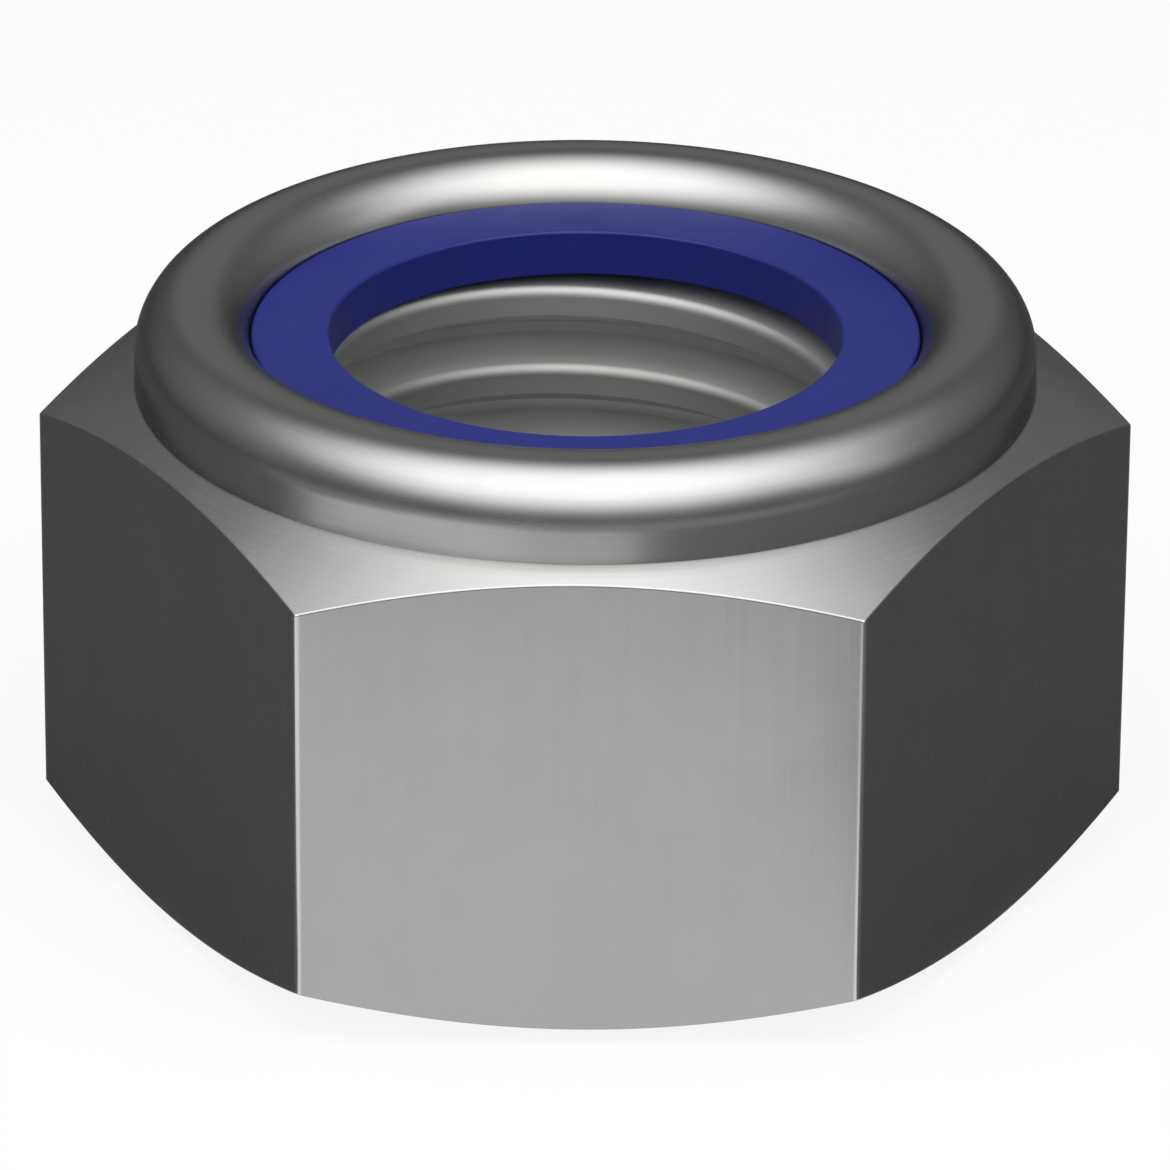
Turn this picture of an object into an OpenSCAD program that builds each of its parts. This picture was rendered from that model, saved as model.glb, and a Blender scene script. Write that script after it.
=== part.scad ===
// Nylon insert lock nut, M12: a hexagon nut of one piece of steel whose upper end is a
// thin round collar, rolled inwards over a ring of nylon that grips the screw.
// The origin is at the centre of the bearing face, +Z runs up the thread's axis, and one
// flat of the hexagon faces -Y. Millimetres and degrees.

/* [Hexagon] */
// Width across the flats, which is the wrench size
across_flats = 19; // [18:0.1:24]
// Whole height, from the bearing face to the crest of the rolled rim
nut_h = 12; // [8:0.1:20]
// Slope of both corner chamfers against the bearing face
chamfer_angle = 25.5; // [15:0.5:35]
// How far the edge of the flat bearing ring lies inside the flats
bearing_inset = 0.8; // [0.2:0.1:1.6]

/* [Thread] */
// Nominal diameter of the screw that the nut takes
thread_d = 12; // [10:0.1:12.6]
// Pitch of the thread
thread_pitch = 1.75; // [1:0.25:2]
// How far the crests of the nut's thread stand back from their sharp basic diameter
crest_relief = 0.08; // [0:0.02:0.16]
// How far the countersink's mouth stands out beyond the screw, on each side
countersink_margin = 0.4; // [0.1:0.1:0.8]
// Included angle of the countersink
countersink_angle = 120; // [90:5:130]

/* [Collar] */
// How far the collar's wall stands inside the flats
collar_inset = 0.425; // [0.1:0.025:0.7]
// Height of the collar above the shoulder where the upper chamfer meets it
collar_h = 1.83; // [1.5:0.01:2.6]
// Wall of the collar, beside the insert and over it
collar_wall = 1.07; // [0.8:0.01:1.15]
// Radius of the rolled rim's outer surface, in section
rim_r = 1.19; // [1.16:0.01:1.35]
// Radius inside the roll, where the insert fills it
roll_inner_r = 0.3; // [0.1:0.05:0.45]

/* [Insert] */
// Thickness of the insert under the rolled lip
insert_h = 0.68; // [0.5:0.02:1.6]
// How far the insert's face stands above the underside of the lip
insert_proud = 0.26; // [0.14:0.02:0.34]
// Rounding of the edges of the insert's face, at its bore and beside the lip
insert_edge_r = 0.1; // [0.04:0.01:0.12]

/* [Hidden] */
$fn = 96;
// Reach of a cutting shape past the surface that it opens
past = 1;

corner_r = across_flats / sqrt(3);
bearing_r = across_flats / 2 - bearing_inset;
// The turned outside runs out past the corners, so that both chamfers cut them
turned_r = corner_r + past;

// Internal metric thread: its crests leave this bore, and its grooves reach thread_d
thread_depth = 5 / 8 * cos(30) * thread_pitch - crest_relief;
minor_r = thread_d / 2 - thread_depth;
countersink_r = thread_d / 2 + countersink_margin;
countersink_h = (countersink_r - minor_r) / tan(countersink_angle / 2);

collar_r = across_flats / 2 - collar_inset;
shoulder_h = nut_h - collar_h;
// Centre of the rim's round section, and the opening that the rolled lip leaves
rim_centre_r = collar_r - rim_r;
rim_centre_h = nut_h - rim_r;
lip_r = collar_r - 2 * rim_r;

// The pocket that the insert fills: the ledge below it, the wall beside it, the lip above.
// The insert's bore is flush with the crests until a screw has cut its way through
pocket_r = collar_r - collar_wall;
pocket_top_h = nut_h - collar_wall;
ledge_h = pocket_top_h - insert_h;
insert_bore_r = minor_r;
insert_top_h = pocket_top_h + insert_proud;

// Height that a chamfer gains over a radial distance
function chamfer_rise(distance) = distance * tan(chamfer_angle);

// Section of a ring, square below, with its upper outer corner rounded, and its upper
// inner corner too where inner_round is above zero
module ring_section(inner_r, outer_r, low_h, high_h, outer_round, inner_round = 0) {
  translate([inner_r + inner_round, low_h])
    square([outer_r - inner_r - outer_round - inner_round, high_h - low_h]);
  translate([inner_r, low_h])
    square([outer_r - inner_r, high_h - low_h - max(outer_round, inner_round)]);
  translate([outer_r - outer_round, high_h - outer_round])
    circle(r = outer_round);
  if (inner_round > 0)
    translate([inner_r + inner_round, high_h - inner_round])
      circle(r = inner_round);
}

// Section of what the insert fills, out from the given radius to the collar's wall
module pocket_section(inner_r) {
  ring_section(inner_r, pocket_r, ledge_h, pocket_top_h, roll_inner_r);
}

// Section of the turned outside: bearing face, two chamfers, collar and rolled rim
module turned_section() {
  polygon([
    [0, 0],
    [bearing_r, 0],
    [turned_r, chamfer_rise(turned_r - bearing_r)],
    [turned_r, shoulder_h - chamfer_rise(turned_r - collar_r)],
    [collar_r, shoulder_h],
    [collar_r, rim_centre_h],
    [0, rim_centre_h],
  ]);
  translate([rim_centre_r, rim_centre_h])
    circle(r = rim_r);
}

// Section of the threaded bore at its crests, with the countersink that leads the screw in
module bore_section() {
  translate([0, -past])
    square([minor_r, nut_h + 2 * past]);
  polygon([
    [0, -past],
    [countersink_r + past * tan(countersink_angle / 2), -past],
    [minor_r, countersink_h],
    [0, countersink_h],
  ]);
}

// The steel nut: a hexagon bar cut back to the turned outside, bored, pocketed for the
// insert, and its collar rolled in over the pocket
module nut_body() {
  color("silver")
    intersection() {
      cylinder(r = corner_r, h = nut_h + past, $fn = 6);
      rotate_extrude()
        difference() {
          turned_section();
          pocket_section(0);
          bore_section();
        }
    }
}

// The nylon ring: it fills the pocket under the lip, and its face stands up inside the lip
module nylon_insert() {
  color("mediumblue")
    rotate_extrude() {
      pocket_section(insert_bore_r);
      ring_section(insert_bore_r, lip_r, ledge_h, insert_top_h, insert_edge_r, insert_edge_r);
    }
}

nut_body();
nylon_insert();
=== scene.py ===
import math

import bpy
from mathutils import Matrix, Vector


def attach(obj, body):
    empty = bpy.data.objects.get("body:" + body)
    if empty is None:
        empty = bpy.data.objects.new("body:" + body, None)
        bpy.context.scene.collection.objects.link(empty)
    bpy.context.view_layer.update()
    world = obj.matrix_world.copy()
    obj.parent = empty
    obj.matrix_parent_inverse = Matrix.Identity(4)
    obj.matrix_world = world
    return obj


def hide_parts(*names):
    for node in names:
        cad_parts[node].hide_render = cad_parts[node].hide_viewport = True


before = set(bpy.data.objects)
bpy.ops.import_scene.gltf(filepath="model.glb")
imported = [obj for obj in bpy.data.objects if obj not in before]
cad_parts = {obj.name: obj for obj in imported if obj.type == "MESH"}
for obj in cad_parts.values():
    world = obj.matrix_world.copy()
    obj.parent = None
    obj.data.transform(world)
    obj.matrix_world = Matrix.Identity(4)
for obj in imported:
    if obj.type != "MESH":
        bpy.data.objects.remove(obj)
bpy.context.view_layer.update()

# The nut is modelled in millimetres, standing on its bearing face with its thread's axis
# on Z, and each finished piece is brought down to metres.
MM = 0.001

# Hexagon
ACROSS_FLATS = 19.0
NUT_HEIGHT = 12.0
CHAMFER_SLOPE = math.tan(math.radians(25.5))
BEARING_RADIUS = ACROSS_FLATS / 2 - 0.8
BEARING_EDGE_ROUND = 0.08
CORNER_RADIUS = ACROSS_FLATS / math.sqrt(3)
BLANK_RADIUS = CORNER_RADIUS + 1.0
FLAT_EDGE_ROUND = 0.07

# Collar, rolled in over the insert
COLLAR_RADIUS = ACROSS_FLATS / 2 - 0.47
SHOULDER_HEIGHT = NUT_HEIGHT - 1.81
COLLAR_WALL = 1.07
RIM_RADIUS = 1.168
RIM_CENTRE = (COLLAR_RADIUS - RIM_RADIUS, NUT_HEIGHT - RIM_RADIUS)
LIP_RADIUS = COLLAR_RADIUS - 2 * RIM_RADIUS
POCKET_RADIUS = COLLAR_RADIUS - COLLAR_WALL
POCKET_TOP = NUT_HEIGHT - COLLAR_WALL
POCKET_ROUND = 0.3
LEDGE_HEIGHT = POCKET_TOP - 0.68

# Insert
INSERT_TOP = POCKET_TOP + 0.26
INSERT_ROUND = 0.07

# Thread, M12 coarse and right-handed
SCREW_RADIUS = 6.0
PITCH = 1.75
CREST_RELIEF = 0.08
CREST_RADIUS = SCREW_RADIUS - 5 / 8 * math.cos(math.radians(30)) * PITCH + CREST_RELIEF
CREST_FLAT = PITCH / 4 + 2 * CREST_RELIEF * math.tan(math.radians(30))
# The tap leaves the upper edge of each crest rounded, and the other corners sharp
CREST_TOP_ROUND = 0.3
ROOT_FLAT = PITCH / 8
# Height of the uppermost whole crest, at its middle, where it passes the +Y side, and the
# turns of the helix below and above it, which pass both ends of the bore
CREST_HEIGHT = 9.57
TURNS_BELOW = 8
TURNS_ABOVE = 3
# Heights between which the helix is kept to cut the bore
CORE_FOOT = -0.5
CORE_TOP = LEDGE_HEIGHT + 0.3
COUNTERSINK_RADIUS = SCREW_RADIUS + 0.4
COUNTERSINK_HEIGHT = (COUNTERSINK_RADIUS - CREST_RADIUS) / math.tan(math.radians(60))
COUNTERSINK_ROUND = 0.06

# Facets round a turned piece, round one turn of the thread and along each round in section
ROUND_STEPS = 192
THREAD_STEPS = 120
RIM_STEPS = 60
CREST_STEPS = 8
INSERT_STEPS = 5
POCKET_STEPS = 4
EDGE_STEPS = 3

# Edges that turn by less than this are shaded smooth
SMOOTH_DEG = 32
# How near points are before they are merged, or count as lying on a cut
MERGE_REACH = 0.0005
CUT_REACH = 0.00001

# Stretches in millimetres over which one finish passes into the next, or a painted highlight or
# painted shade fades in, by radius
BORE_SIDE = (6.02, 6.12)
ROOT_START = (5.4, 5.95)
CHAMFER_HIGHLIGHT_SPAN = (9.04, 9.07)
UPRIGHT_EDGE_HIGHLIGHT_SPAN = (10.915, 10.945)
# The same by height
BORE_TOP = (LEDGE_HEIGHT - 0.04, LEDGE_HEIGHT)
LOW_CHAMFER_HIGHLIGHT_TOP = (1.2, 1.25)
# Heights over which the painted shade on the crests fades out towards the top of the bore
CREST_SHADE_SPAN = (8.2, 9.5)
# The same by distance from the middle of the nut, square to the flats
FLAT_START = (ACROSS_FLATS / 2 - 0.04, ACROSS_FLATS / 2 - 0.01)

# Colours of the steel and of the nylon; the steel's upright edges and chamfers carry painted
# highlights, and its crests painted shade deeper in the bore
PLATE_COLOURS = ((0.402, 0.4, 0.39), (0.394, 0.397, 0.394))
# Painted highlight along the hexagon's upright edges
UPRIGHT_EDGE_HIGHLIGHT = (0.62, 0.62, 0.61)
# Painted highlight on the chamfers
CHAMFER_HIGHLIGHT = (0.53, 0.53, 0.52)
# Painted shade: the crests deep in the bore, then the crests near its top
CREST_SHADE_COLOURS = ((0.35, 0.35, 0.34), (0.47, 0.47, 0.46))
ROOT_COLOUR = (0.6, 0.6, 0.59)
NYLON_COLOURS = ((0.009, 0.0145, 0.16), (0.011, 0.017, 0.177))
# Roughness of the steel, and how much of it the marks add
PLATE_ROUGHNESS = 0.245
BORE_ROUGHNESS = 0.5
STREAK_ROUGHNESS = 0.03
# Height in millimetres of the fine relief on the steel and on the nylon's skin, and the share
# of the steel's that is marks, beside its grain
STEEL_RELIEF = 0.0012
SKIN_RELIEF = 0.0015
MARK_SHARE = 0.7
# How much the marks on the flats are drawn out along their height
DRAWN_SCALE = 0.03

# Floor: size in metres, how far it lies under the bearing face in millimetres, its colour,
# and the share of plain white in what the camera and reflections see of it
FLOOR_SIZE = 4
FLOOR_DEPTH = 0.01
FLOOR_GREY = 0.9
WHITE_SHARE = 0.86

# Dark cards on the floor: how high they lie and how large they are before they are cut
CARD_HEIGHT = 0.04
CARD_SIZE = 3000.0
CARD_CUT_REACH = 0.0000001
CARD_ROUGHNESS = 0.9
BESIDE_FLAT = ACROSS_FLATS / 2 + 0.2
# Each card's name and grey, then the lines that it lies beyond, every line by its direction in
# degrees and its distance from the thread's axis in millimetres
CARDS = (
    ("card_left_front", 0.12, ((210, BESIDE_FLAT), (180, 6.6), (90, -14), (270, 0))),
    ("card_left_back", 0.12, ((150, BESIDE_FLAT), (180, 7), (90, 0))),
    ("card_right_front", 0.11, ((330, BESIDE_FLAT), (0, 6.6), (90, -12), (270, 0))),
    ("card_right_back", 0.11, ((30, BESIDE_FLAT), (0, 7), (90, 0))),
    ("card_front_left", 0.28, ((180, 34), (270, 14), (90, -46))),
    ("card_front_right", 0.14, ((0, 6.3), (270, 12), (90, -35))),
    ("card_front_middle", 0.3, ((0, -9), (270, 35), (90, -46))),
    ("card_front", 0.3, ((270, 46),)),
    ("card_back", 0.12, ((90, 60), (0, -7), (180, -7))),
)

# The soft light, a panel above the nut and a little before it: its direction above the floor,
# its distance and size in millimetres, the angles from its middle between which it fades out,
# as the nut sees them, and its level
LIGHT_HEIGHT_DEG = 66.5
LIGHT_DISTANCE = 150.0
LIGHT_SIZE = 700.0
LIGHT_FADE_DEG = (12, 62)
LIGHT_LEVEL = 2.5

# Faint lights in the room: direction, the angles between which each fades out, and its level
ROOM_LIGHTS = (
    ((0, 0.907, 0.42), (11, 25), 0.16),
    ((0.84, -0.28, 0.46), (6, 24), 0.5),
)
# The sideways part of a direction is shortened to this share, which makes lights broader there
SIDE_SHARE = 0.87
# Levels of the room and, added to it, of its side walls, and the slope below which it is white
ROOM_LEVEL = 0.13
WALL_LEVEL = 0.48
WHITE_BELOW = -0.02

# Camera: direction and tilt in degrees, then the height that it looks at, its distance and how
# far that point lies to the right of and above the picture's middle, all in millimetres
CAMERA_AZIMUTH = 0.44
CAMERA_ELEVATION = 24.82
CAMERA_ROLL = 0.41
AIM_HEIGHT = 5.175
CAMERA_DISTANCE = 202.8
AIM_ASIDE = -0.027
AIM_ABOVE = -0.375
LENS_LENGTH = 308.1
SENSOR_WIDTH = 36


# Outlines and turning

def arc(centre, radius, start_deg, end_deg, steps):
    """Points of a round stretch of an outline, from one direction to another."""
    points = []
    for step in range(steps + 1):
        angle = math.radians(start_deg + (end_deg - start_deg) * step / steps)
        points.append((centre[0] + radius * math.cos(angle), centre[1] + radius * math.sin(angle)))
    return points


def rounded(before, corner, after, radius, steps):
    """Points of a small round in place of an outline's corner."""
    to_before = (Vector(before) - Vector(corner)).normalized()
    to_after = (Vector(after) - Vector(corner)).normalized()
    half = to_before.angle(to_after) / 2
    centre = Vector(corner) + (to_before + to_after).normalized() * radius / math.sin(half)
    first = Vector(corner) + to_before * radius / math.tan(half) - centre
    last = Vector(corner) + to_after * radius / math.tan(half) - centre
    start = math.degrees(math.atan2(first.y, first.x))
    turn = math.degrees(first.angle_signed(last))
    return arc(centre, radius, start, start - turn, steps)


def with_rounds(corners, rounds, closed=False):
    """An outline with some of its corners rounded: rounds holds a radius and steps, or None."""
    points = []
    count = len(corners)
    for index, (corner, size) in enumerate(zip(corners, rounds)):
        if size is None:
            points.append(corner)
        else:
            before, after = corners[index - 1], corners[(index + 1) % count]
            points += rounded(before, corner, after, *size)
    if closed:
        points.append(points[0])
    return points


def start_fresh():
    """Deselect everything, so that the next operator acts on the new piece alone."""
    bpy.ops.object.select_all(action="DESELECT")


def turn(outline, filled_ends):
    """Turn an outline of radii and heights about Z, ring by ring, as on a lathe."""
    start_fresh()
    radius, height = outline[0]
    half_step = math.pi / ROUND_STEPS
    bpy.ops.mesh.primitive_circle_add(
        vertices=ROUND_STEPS,
        radius=radius,
        fill_type="NGON" if filled_ends else "NOTHING",
        location=(0, 0, height),
        rotation=(0, 0, half_step),
    )
    piece = bpy.context.object
    bpy.ops.object.transform_apply(location=True, rotation=True)
    bpy.ops.object.mode_set(mode="EDIT")
    bpy.ops.mesh.select_mode(type="EDGE")
    bpy.ops.mesh.select_all(action="SELECT")
    for next_radius, next_height in outline[1:]:
        bpy.ops.mesh.extrude_edges_move(
            TRANSFORM_OT_translate={"value": (0, 0, next_height - height)}
        )
        scale = next_radius / radius
        bpy.ops.transform.resize(value=(scale, scale, 1), center_override=(0, 0, next_height))
        radius, height = next_radius, next_height
    if filled_ends:
        bpy.ops.mesh.edge_face_add()
    bpy.ops.mesh.select_all(action="SELECT")
    bpy.ops.mesh.remove_doubles(threshold=MERGE_REACH)
    bpy.ops.mesh.normals_make_consistent(inside=False)
    bpy.ops.object.mode_set(mode="OBJECT")
    return piece


def cut_off(point, outward, reach, fill=True):
    """Cut away what lies beyond a plane from the mesh being edited."""
    bpy.ops.mesh.select_all(action="SELECT")
    bpy.ops.mesh.bisect(
        plane_co=point,
        plane_no=outward,
        use_fill=fill,
        clear_outer=True,
        threshold=reach,
    )


def finish_piece(piece, name):
    """Smooth the round faces, then bring the piece down to metres with its place in its mesh."""
    start_fresh()
    piece.select_set(True)
    bpy.context.view_layer.objects.active = piece
    piece.name = name
    piece.data.name = name
    bpy.ops.object.shade_smooth_by_angle(angle=math.radians(SMOOTH_DEG))
    weighted = piece.modifiers.new("Weighted normals", "WEIGHTED_NORMAL")
    weighted.keep_sharp = True
    bpy.ops.object.modifier_apply(modifier=weighted.name)
    piece.scale = (MM, MM, MM)
    bpy.ops.object.transform_apply(location=True, rotation=True, scale=True)


# Steel nut

def nut_blank():
    """The nut as it leaves the lathe: round, countersunk below, with the insert's pocket above."""
    rise = (BLANK_RADIUS - BEARING_RADIUS) * CHAMFER_SLOPE
    drop = (BLANK_RADIUS - COLLAR_RADIUS) * CHAMFER_SLOPE
    countersink_top = (CREST_RADIUS, COUNTERSINK_HEIGHT)
    countersink_mouth = (COUNTERSINK_RADIUS, 0)
    bearing_edge = (BEARING_RADIUS, 0)
    low_edge = (BLANK_RADIUS, rise)
    high_edge = (BLANK_RADIUS, SHOULDER_HEIGHT - drop)
    shoulder = (COLLAR_RADIUS, SHOULDER_HEIGHT)
    lip_deg = math.degrees(math.asin((RIM_CENTRE[1] - POCKET_TOP) / RIM_RADIUS))
    pocket_corner = (POCKET_RADIUS, POCKET_TOP)
    pocket_foot = (POCKET_RADIUS, LEDGE_HEIGHT)
    # Inside this the blank stays solid until the thread is cut
    ledge_end = (CREST_RADIUS - 0.5, LEDGE_HEIGHT)

    outline = [countersink_top]
    outline += rounded(
        countersink_top, countersink_mouth, bearing_edge, COUNTERSINK_ROUND, EDGE_STEPS
    )
    outline += rounded(countersink_mouth, bearing_edge, low_edge, BEARING_EDGE_ROUND, EDGE_STEPS)
    outline += [low_edge, high_edge, shoulder]
    outline += arc(RIM_CENTRE, RIM_RADIUS, 0, 180 + lip_deg, RIM_STEPS)
    lip_underside = outline[-1]
    outline += rounded(lip_underside, pocket_corner, pocket_foot, POCKET_ROUND, POCKET_STEPS)
    outline += [pocket_foot, ledge_end]
    return turn(outline, filled_ends=True)


def cut_flats(piece):
    """Mill the six flats, one facing -Y, and round over every edge that they meet."""
    bpy.ops.object.mode_set(mode="EDIT")
    for side in range(6):
        angle = math.radians(60 * side + 30)
        outward = Vector((math.cos(angle), math.sin(angle), 0))
        cut_off(outward * ACROSS_FLATS / 2, outward, CUT_REACH)
    bpy.ops.mesh.select_all(action="DESELECT")
    bpy.ops.object.mode_set(mode="OBJECT")
    # The flats are the upright faces outside the collar
    for face in piece.data.polygons:
        upright = abs(face.normal.z) < 0.01
        outside = math.hypot(face.center.x, face.center.y) > COLLAR_RADIUS + 0.2
        face.select = upright and outside
    bpy.ops.object.mode_set(mode="EDIT")
    bpy.ops.mesh.bevel(
        offset_type="OFFSET",
        offset=FLAT_EDGE_ROUND / 2,
        segments=EDGE_STEPS,
        profile=0.5,
        affect="EDGES",
    )
    bpy.ops.object.mode_set(mode="OBJECT")


def thread_core():
    """The shape of the screw that the bore takes: one pitch of its side, wound up in a helix."""
    half_pitch, half_crest, half_root = PITCH / 2, CREST_FLAT / 2, ROOT_FLAT / 2
    corners = [
        (SCREW_RADIUS, -half_pitch),
        (SCREW_RADIUS, -half_pitch + half_root),
        (CREST_RADIUS, -half_crest),
        (CREST_RADIUS, half_crest),
        (SCREW_RADIUS, half_pitch - half_root),
        (SCREW_RADIUS, half_pitch),
    ]
    crest_top = (CREST_TOP_ROUND, CREST_STEPS)
    side = with_rounds(corners, [None, None, None, crest_top, None, None])

    start_fresh()
    # The helix climbs by a quarter of its pitch from the +X side to the +Y side
    first_height = CREST_HEIGHT - PITCH / 4 - PITCH * TURNS_BELOW
    bpy.ops.mesh.primitive_plane_add(size=1)
    core = bpy.context.object
    bpy.ops.object.mode_set(mode="EDIT")
    bpy.ops.mesh.select_mode(type="VERT")
    bpy.ops.mesh.select_all(action="SELECT")
    bpy.ops.mesh.merge(type="CENTER")
    bpy.ops.transform.translate(value=(side[0][0], 0, first_height + side[0][1]))
    for (radius, height), (next_radius, next_height) in zip(side, side[1:]):
        bpy.ops.mesh.extrude_vertices_move(
            TRANSFORM_OT_translate={"value": (next_radius - radius, 0, next_height - height)}
        )
    bpy.ops.object.mode_set(mode="OBJECT")
    helix = core.modifiers.new("Helix", "SCREW")
    helix.axis = "Z"
    helix.angle = 2 * math.pi
    helix.screw_offset = PITCH
    helix.iterations = TURNS_BELOW + TURNS_ABOVE
    helix.steps = helix.render_steps = THREAD_STEPS
    helix.use_merge_vertices = True
    helix.merge_threshold = MERGE_REACH
    bpy.ops.object.modifier_apply(modifier=helix.name)

    bpy.ops.object.mode_set(mode="EDIT")
    bpy.ops.mesh.select_all(action="SELECT")
    bpy.ops.mesh.remove_doubles(threshold=MERGE_REACH)
    cut_off((0, 0, CORE_FOOT), (0, 0, -1), CUT_REACH)
    cut_off((0, 0, CORE_TOP), (0, 0, 1), CUT_REACH)
    bpy.ops.mesh.select_all(action="SELECT")
    bpy.ops.mesh.normals_make_consistent(inside=False)
    bpy.ops.object.mode_set(mode="OBJECT")
    return core


def tap_thread(piece):
    """Cut the threaded bore through the nut."""
    core = thread_core()
    start_fresh()
    piece.select_set(True)
    bpy.context.view_layer.objects.active = piece
    cut = piece.modifiers.new("Thread", "BOOLEAN")
    cut.operation = "DIFFERENCE"
    cut.solver = "EXACT"
    cut.object = core
    bpy.ops.object.modifier_apply(modifier=cut.name)
    bpy.data.objects.remove(core, do_unlink=True)


def steel_nut():
    """The steel nut: turned, milled to a hexagon and tapped."""
    nut = nut_blank()
    cut_flats(nut)
    tap_thread(nut)
    finish_piece(nut, "steel_nut")
    return nut


# Nylon insert

def nylon_ring():
    """The ring as the rolled lip holds it: full in its pocket, its face standing inside the lip."""
    corners = [
        (CREST_RADIUS, LEDGE_HEIGHT),
        (POCKET_RADIUS, LEDGE_HEIGHT),
        (POCKET_RADIUS, POCKET_TOP),
        (LIP_RADIUS, POCKET_TOP),
        (LIP_RADIUS, INSERT_TOP),
        (CREST_RADIUS, INSERT_TOP),
    ]
    shoulder_round = (POCKET_ROUND, POCKET_STEPS)
    face_round = (INSERT_ROUND, INSERT_STEPS)
    rounds = [None, None, shoulder_round, None, face_round, face_round]
    ring = turn(with_rounds(corners, rounds, closed=True), filled_ends=False)
    finish_piece(ring, "nylon_ring")
    return ring


# Finishes

def new_finish(name):
    """A new material and its nodes."""
    finish = bpy.data.materials.new(name)
    finish.use_nodes = True
    return finish, finish.node_tree


def object_place(tree):
    """The place on the object, in metres."""
    return tree.nodes.new("ShaderNodeTexCoord").outputs["Object"]


def reckoned(tree, operation, *values):
    """One maths node: a number is set on its socket, and anything else is linked to it."""
    node = tree.nodes.new("ShaderNodeMath")
    node.operation = operation
    for socket, value in zip(node.inputs, values):
        if isinstance(value, (int, float)):
            socket.default_value = value
        else:
            tree.links.new(value, socket)
    return node.outputs[0]


def along(tree, place, direction):
    """How far a place lies along a direction."""
    node = tree.nodes.new("ShaderNodeVectorMath")
    node.operation = "DOT_PRODUCT"
    node.inputs[1].default_value = direction
    tree.links.new(place, node.inputs[0])
    return node.outputs["Value"]


def ramp(tree, value, span, low, high, smooth=True):
    """A value that climbs from low to high as another crosses a span."""
    node = tree.nodes.new("ShaderNodeMapRange")
    node.interpolation_type = "SMOOTHSTEP" if smooth else "LINEAR"
    node.inputs["From Min"].default_value, node.inputs["From Max"].default_value = span
    node.inputs["To Min"].default_value = low
    node.inputs["To Max"].default_value = high
    tree.links.new(value, node.inputs["Value"])
    return node.outputs["Result"]


def past(tree, measure, span_mm):
    """0 before a stretch in millimetres and 1 past it."""
    return ramp(tree, measure, [edge * MM for edge in span_mm], 0, 1)


def short_of(tree, measure, span_mm):
    """1 before a stretch in millimetres and 0 past it."""
    return ramp(tree, measure, [edge * MM for edge in span_mm], 1, 0)


def mottle(tree, place, size_mm, low=0, high=1, detail=2.0):
    """Soft random patches of a size in millimetres, between two levels."""
    noise = tree.nodes.new("ShaderNodeTexNoise")
    noise.inputs["Scale"].default_value = 1 / (size_mm * MM)
    noise.inputs["Detail"].default_value = detail
    tree.links.new(place, noise.inputs["Vector"])
    return ramp(tree, noise.outputs["Fac"], (0.3, 0.7), low, high, smooth=False)


def mixed_colour(tree, share, first, second):
    """One colour passing into another."""
    node = tree.nodes.new("ShaderNodeMix")
    node.data_type = "RGBA"
    tree.links.new(share, node.inputs["Factor"])
    for socket, colour in zip((node.inputs[6], node.inputs[7]), (first, second)):
        if isinstance(colour, tuple):
            socket.default_value = (*colour, 1)
        else:
            tree.links.new(colour, socket)
    return node.outputs[2]


def shaded(tree, colour, level):
    """A colour made lighter and darker by a level near 1."""
    node = tree.nodes.new("ShaderNodeVectorMath")
    node.operation = "SCALE"
    tree.links.new(colour, node.inputs[0])
    tree.links.new(level, node.inputs["Scale"])
    return node.outputs[0]


def raised(tree, height, relief_mm, strength):
    """Fine relief whose height runs from 0 to 1."""
    node = tree.nodes.new("ShaderNodeBump")
    node.inputs["Strength"].default_value = strength
    node.inputs["Distance"].default_value = relief_mm * MM
    tree.links.new(height, node.inputs["Height"])
    return node.outputs["Normal"]


def height_and_radius(tree, place):
    """How high a place lies, and how far from the thread's axis."""
    parts = tree.nodes.new("ShaderNodeSeparateXYZ")
    tree.links.new(place, parts.inputs[0])
    squares = [reckoned(tree, "MULTIPLY", parts.outputs[axis], parts.outputs[axis]) for axis in "XY"]
    radius = reckoned(tree, "SQRT", reckoned(tree, "ADD", *squares))
    return parts.outputs["Z"], radius


def on_the_flats(tree, place):
    """1 on the six flats and 0 on what was turned."""
    furthest = 0
    for side in range(3):
        angle = math.radians(60 * side + 30)
        out = reckoned(tree, "ABSOLUTE", along(tree, place, (math.cos(angle), math.sin(angle), 0)))
        furthest = reckoned(tree, "MAXIMUM", furthest, out)
    return past(tree, furthest, FLAT_START)


def steel_marks(tree, place, height, radius, flats, turned):
    """Fine marks from 0 to 1: lathe rings on what was turned and drawn lines on the flats."""
    # Rings left by the lathe follow the radius and the height alone
    lathe_place = tree.nodes.new("ShaderNodeCombineXYZ")
    tree.links.new(radius, lathe_place.inputs["X"])
    tree.links.new(height, lathe_place.inputs["Z"])
    lathe = mottle(tree, lathe_place.outputs[0], size_mm=0.12)
    # The bar was drawn through a die, so its flats are marked along their height
    drawn_place = tree.nodes.new("ShaderNodeMapping")
    drawn_place.inputs["Scale"].default_value = (1, 1, DRAWN_SCALE)
    tree.links.new(place, drawn_place.inputs["Vector"])
    drawn = mottle(tree, drawn_place.outputs[0], size_mm=0.14)
    rings = reckoned(tree, "MULTIPLY", lathe, turned)
    lines = reckoned(tree, "MULTIPLY", drawn, flats)
    return reckoned(tree, "ADD", rings, lines)


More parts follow.
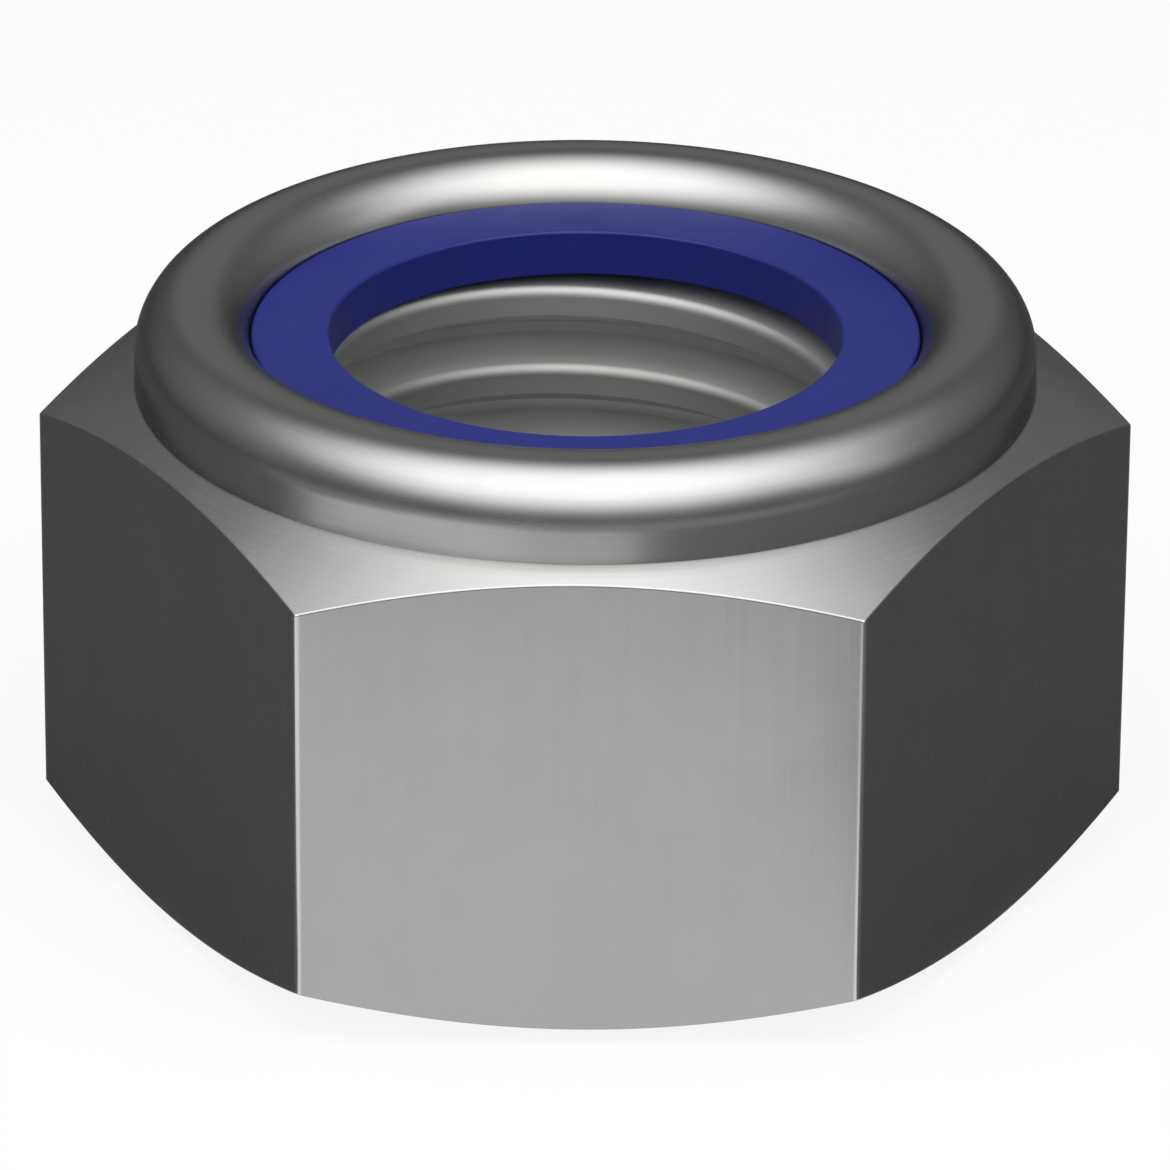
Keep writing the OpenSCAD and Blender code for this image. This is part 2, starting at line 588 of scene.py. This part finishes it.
def steel_colour(tree, place, height, radius, turned, bore):
    """Zinc plate with painted highlights on the upright edges and chamfers, and a tapped bore whose
    crests carry painted shade deeper in.
    """
    tone = mottle(tree, place, size_mm=3.0, detail=3.0)
    plated = mixed_colour(tree, tone, *PLATE_COLOURS)
    # Painted highlight: the hexagon's upright edges are painted a brighter colour
    edges = past(tree, radius, UPRIGHT_EDGE_HIGHLIGHT_SPAN)
    plated = mixed_colour(tree, edges, plated, UPRIGHT_EDGE_HIGHLIGHT)
    # Painted highlight: the chamfers are painted a brighter colour
    upper = past(tree, radius, CHAMFER_HIGHLIGHT_SPAN)
    lower = short_of(tree, height, LOW_CHAMFER_HIGHLIGHT_TOP)
    chamfers = reckoned(tree, "MULTIPLY", turned, reckoned(tree, "MAXIMUM", upper, lower))
    outside = mixed_colour(tree, chamfers, plated, CHAMFER_HIGHLIGHT)
    # Painted shade: the crests are painted darker deeper in the bore and lighter towards its top,
    # and the roots are paler than the crests
    crest_shade_fade = past(tree, height, CREST_SHADE_SPAN)
    crests = mixed_colour(tree, crest_shade_fade, *CREST_SHADE_COLOURS)
    roots = past(tree, radius, ROOT_START)
    tapped = mixed_colour(tree, roots, crests, ROOT_COLOUR)
    colour = mixed_colour(tree, bore, outside, tapped)
    cloud = mottle(tree, place, size_mm=1.1, low=0.985, high=1.015, detail=4.0)
    return shaded(tree, colour, cloud)


def zinc_steel():
    """Steel under a thin satin zinc plate, with lathe marks, drawn flats and a tapped bore."""
    finish, tree = new_finish("zinc plated steel")
    surface = tree.nodes["Principled BSDF"]
    place = object_place(tree)
    height, radius = height_and_radius(tree, place)
    flats = on_the_flats(tree, place)
    turned = reckoned(tree, "SUBTRACT", 1.0, flats)
    inside = short_of(tree, radius, BORE_SIDE)
    below = short_of(tree, height, BORE_TOP)
    bore = reckoned(tree, "MULTIPLY", inside, below)

    colour = steel_colour(tree, place, height, radius, turned, bore)
    tree.links.new(colour, surface.inputs["Base Color"])
    surface.inputs["Metallic"].default_value = 1.0
    surface.inputs["Specular Tint"].default_value = (0.6, 0.6, 0.6, 1)

    marks = steel_marks(tree, place, height, radius, flats, turned)
    base = ramp(tree, bore, (0, 1), PLATE_ROUGHNESS, BORE_ROUGHNESS)
    haze = mottle(tree, place, size_mm=1.7, low=-0.015, high=0.02, detail=3.0)
    streaks = reckoned(tree, "MULTIPLY", marks, STREAK_ROUGHNESS)
    roughness = reckoned(tree, "ADD", reckoned(tree, "ADD", base, haze), streaks)
    tree.links.new(roughness, surface.inputs["Roughness"])

    grain = mottle(tree, place, size_mm=0.07)
    deep = reckoned(tree, "MULTIPLY", marks, MARK_SHARE)
    fine = reckoned(tree, "MULTIPLY", grain, 1 - MARK_SHARE)
    relief = reckoned(tree, "ADD", deep, fine)
    normal = raised(tree, relief, STEEL_RELIEF, strength=0.35)
    tree.links.new(normal, surface.inputs["Normal"])
    return finish


def blue_nylon():
    """Blue nylon with a smooth moulded skin."""
    finish, tree = new_finish("blue nylon")
    surface = tree.nodes["Principled BSDF"]
    place = object_place(tree)
    tone = mottle(tree, place, size_mm=2.4, detail=3.0)
    colour = mixed_colour(tree, tone, *NYLON_COLOURS)
    cloud = mottle(tree, place, size_mm=0.5, low=0.97, high=1.03, detail=3.0)
    tree.links.new(shaded(tree, colour, cloud), surface.inputs["Base Color"])
    roughness = mottle(tree, place, size_mm=0.9, low=0.4, high=0.47, detail=3.0)
    tree.links.new(roughness, surface.inputs["Roughness"])
    surface.inputs["Specular IOR Level"].default_value = 0.35
    skin = mottle(tree, place, size_mm=0.16, detail=3.0)
    normal = raised(tree, skin, SKIN_RELIEF, strength=0.5)
    tree.links.new(normal, surface.inputs["Normal"])
    return finish


# Studio

def mixed_surface(tree, share, first, second):
    """One shader passing into another."""
    node = tree.nodes.new("ShaderNodeMixShader")
    tree.links.new(share, node.inputs["Fac"])
    tree.links.new(first, node.inputs[1])
    tree.links.new(second, node.inputs[2])
    return node.outputs[0]


def studio_floor():
    """A white floor that keeps the nut's shadow, and is clear where it is seen from below."""
    start_fresh()
    # A hair under the bearing face, so that the two don't share a plane
    bpy.ops.mesh.primitive_plane_add(size=FLOOR_SIZE, location=(0, 0, -FLOOR_DEPTH * MM))
    floor = bpy.context.object
    bpy.ops.object.transform_apply(location=True)
    floor.name = "floor"
    finish, tree = new_finish("white floor")
    tree.nodes.remove(tree.nodes["Principled BSDF"])
    lit = tree.nodes.new("ShaderNodeBsdfDiffuse")
    lit.inputs["Color"].default_value = (FLOOR_GREY, FLOOR_GREY, FLOOR_GREY, 1)
    glow = tree.nodes.new("ShaderNodeEmission")
    glow.inputs["Strength"].default_value = 1.0
    path = tree.nodes.new("ShaderNodeLightPath").outputs
    seen = reckoned(tree, "MAXIMUM", path["Is Camera Ray"], path["Is Glossy Ray"])
    seen = reckoned(tree, "MAXIMUM", seen, path["Is Transmission Ray"])
    share = reckoned(tree, "MULTIPLY", seen, WHITE_SHARE)
    white = mixed_surface(tree, share, lit.outputs["BSDF"], glow.outputs["Emission"])
    # Seen from below, the floor is clear, so that the bearing face can be looked at
    below = tree.nodes.new("ShaderNodeNewGeometry").outputs["Backfacing"]
    clear = tree.nodes.new("ShaderNodeBsdfTransparent")
    either = mixed_surface(tree, below, white, clear.outputs["BSDF"])
    tree.links.new(either, tree.nodes["Material Output"].inputs["Surface"])
    floor.data.materials.append(finish)


def dark_cards():
    """Dark cards laid on the floor, which the steel mirrors and the camera looks past.

    They leave two windows of white floor: a broad one before the front flat, a little to the
    left, and a narrow one behind the nut.
    """
    for name, grey, lines in CARDS:
        finish, tree = new_finish(name)
        surface = tree.nodes["Principled BSDF"]
        surface.inputs["Base Color"].default_value = (grey, grey, grey, 1)
        surface.inputs["Roughness"].default_value = CARD_ROUGHNESS
        start_fresh()
        bpy.ops.mesh.primitive_plane_add(size=CARD_SIZE * MM, location=(0, 0, CARD_HEIGHT * MM))
        card = bpy.context.object
        card.name = name
        bpy.ops.object.transform_apply(location=True)
        bpy.ops.object.mode_set(mode="EDIT")
        for direction, distance in lines:
            angle = math.radians(direction)
            inward = Vector((-math.cos(angle), -math.sin(angle), 0))
            cut_off(inward * -distance * MM, inward, CARD_CUT_REACH, fill=False)
        bpy.ops.object.mode_set(mode="OBJECT")
        card.visible_camera = False
        card.visible_shadow = False
        card.visible_diffuse = False
        card.data.materials.append(finish)


def broadened(tree, place):
    """The direction of a place, in which a round light comes out broader from side to side."""
    drawn_in = tree.nodes.new("ShaderNodeVectorMath")
    drawn_in.operation = "MULTIPLY"
    drawn_in.inputs[1].default_value = (SIDE_SHARE, 1, 1)
    tree.links.new(place, drawn_in.inputs[0])
    direction = tree.nodes.new("ShaderNodeVectorMath")
    direction.operation = "NORMALIZE"
    tree.links.new(drawn_in.outputs[0], direction.inputs[0])
    return direction.outputs[0]


def soft_light(tree, toward, direction, fade_deg, level):
    """A round light in one direction, with a soft border."""
    angle = reckoned(tree, "ARCCOSINE", along(tree, toward, direction))
    fade = [math.radians(degrees) for degrees in fade_deg]
    return ramp(tree, angle, fade, level, 0)


def light_panel():
    """The soft light: a panel above the nut, bright in its middle and clear at its border."""
    start_fresh()
    height = math.radians(LIGHT_HEIGHT_DEG)
    direction = Vector((0, -math.cos(height), math.sin(height)))
    bpy.ops.mesh.primitive_plane_add(
        size=LIGHT_SIZE * MM,
        location=direction * LIGHT_DISTANCE * MM,
        rotation=(math.pi / 2 - height, 0, 0),
    )
    panel = bpy.context.object
    bpy.ops.object.transform_apply(location=True, rotation=True)
    panel.name = "light_panel"
    finish, tree = new_finish("light panel")
    tree.nodes.remove(tree.nodes["Principled BSDF"])
    toward = broadened(tree, object_place(tree))
    glow = tree.nodes.new("ShaderNodeEmission")
    level = soft_light(tree, toward, direction, LIGHT_FADE_DEG, LIGHT_LEVEL)
    tree.links.new(level, glow.inputs["Strength"])
    clear = tree.nodes.new("ShaderNodeBsdfTransparent")
    both = tree.nodes.new("ShaderNodeAddShader")
    tree.links.new(glow.outputs[0], both.inputs[0])
    tree.links.new(clear.outputs[0], both.inputs[1])
    tree.links.new(both.outputs[0], tree.nodes["Material Output"].inputs["Surface"])
    panel.visible_camera = False
    panel.visible_shadow = False
    panel.data.materials.append(finish)


def soft_sky():
    """A dim room with two faint lights, behind and beside the nut."""
    world = bpy.data.worlds.new("soft sky")
    bpy.context.scene.world = world
    world.use_nodes = True
    tree = world.node_tree
    sky = tree.nodes["Background"]
    sky.inputs["Color"].default_value = (1, 1, 1, 1)
    where = tree.nodes.new("ShaderNodeTexCoord").outputs["Generated"]
    toward = broadened(tree, where)
    parts = tree.nodes.new("ShaderNodeSeparateXYZ")
    tree.links.new(where, parts.inputs[0])
    across, up = parts.outputs["X"], parts.outputs["Z"]
    # The walls at both sides catch some of the light
    aside = reckoned(tree, "MULTIPLY", across, across)
    walls = reckoned(tree, "MULTIPLY", aside, reckoned(tree, "MAXIMUM", up, 0.0))
    level = reckoned(tree, "MULTIPLY_ADD", walls, WALL_LEVEL, ROOM_LEVEL)
    for light in ROOM_LIGHTS:
        level = reckoned(tree, "ADD", level, soft_light(tree, toward, *light))
    # Under the floor's level the room is white
    below = reckoned(tree, "LESS_THAN", up, WHITE_BELOW)
    lift = reckoned(tree, "MULTIPLY", below, reckoned(tree, "SUBTRACT", 1.0, level))
    tree.links.new(reckoned(tree, "ADD", level, lift), sky.inputs["Strength"])


def photo_camera():
    """The photograph's camera: far off, with a long lens, looking down at the front flat."""
    azimuth, elevation = math.radians(CAMERA_AZIMUTH), math.radians(CAMERA_ELEVATION)
    roll = math.radians(CAMERA_ROLL)
    back = Vector((
        math.sin(azimuth) * math.cos(elevation),
        -math.cos(azimuth) * math.cos(elevation),
        math.sin(elevation),
    ))
    level = Vector((0, 0, 1)).cross(back).normalized()
    upright = back.cross(level)
    right = level * math.cos(roll) + upright * math.sin(roll)
    up = upright * math.cos(roll) - level * math.sin(roll)
    # The middle of the hexagon's corners lies a little off the picture's middle
    aim = Vector((0, 0, AIM_HEIGHT)) * MM
    lens = bpy.data.cameras.new("photo lens")
    lens.sensor_width = SENSOR_WIDTH
    lens.lens = LENS_LENGTH
    lens.clip_start, lens.clip_end = 0.01, 10
    camera = bpy.data.objects.new("camera", lens)
    bpy.context.scene.collection.objects.link(camera)
    camera.matrix_world = Matrix((right, up, back)).transposed().to_4x4()
    camera.location = (
        aim
        + back * (CAMERA_DISTANCE * MM)
        - right * (AIM_ASIDE * MM)
        - up * (AIM_ABOVE * MM)
    )
    bpy.context.scene.camera = camera


nut = steel_nut()
nut.data.materials.append(zinc_steel())
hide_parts("nut_body")
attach(nut, "root")

ring = nylon_ring()
ring.data.materials.append(blue_nylon())
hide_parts("nylon_insert")
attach(ring, "root")

studio_floor()
dark_cards()
light_panel()
soft_sky()
photo_camera()
bpy.context.scene.view_settings.view_transform = "Standard"
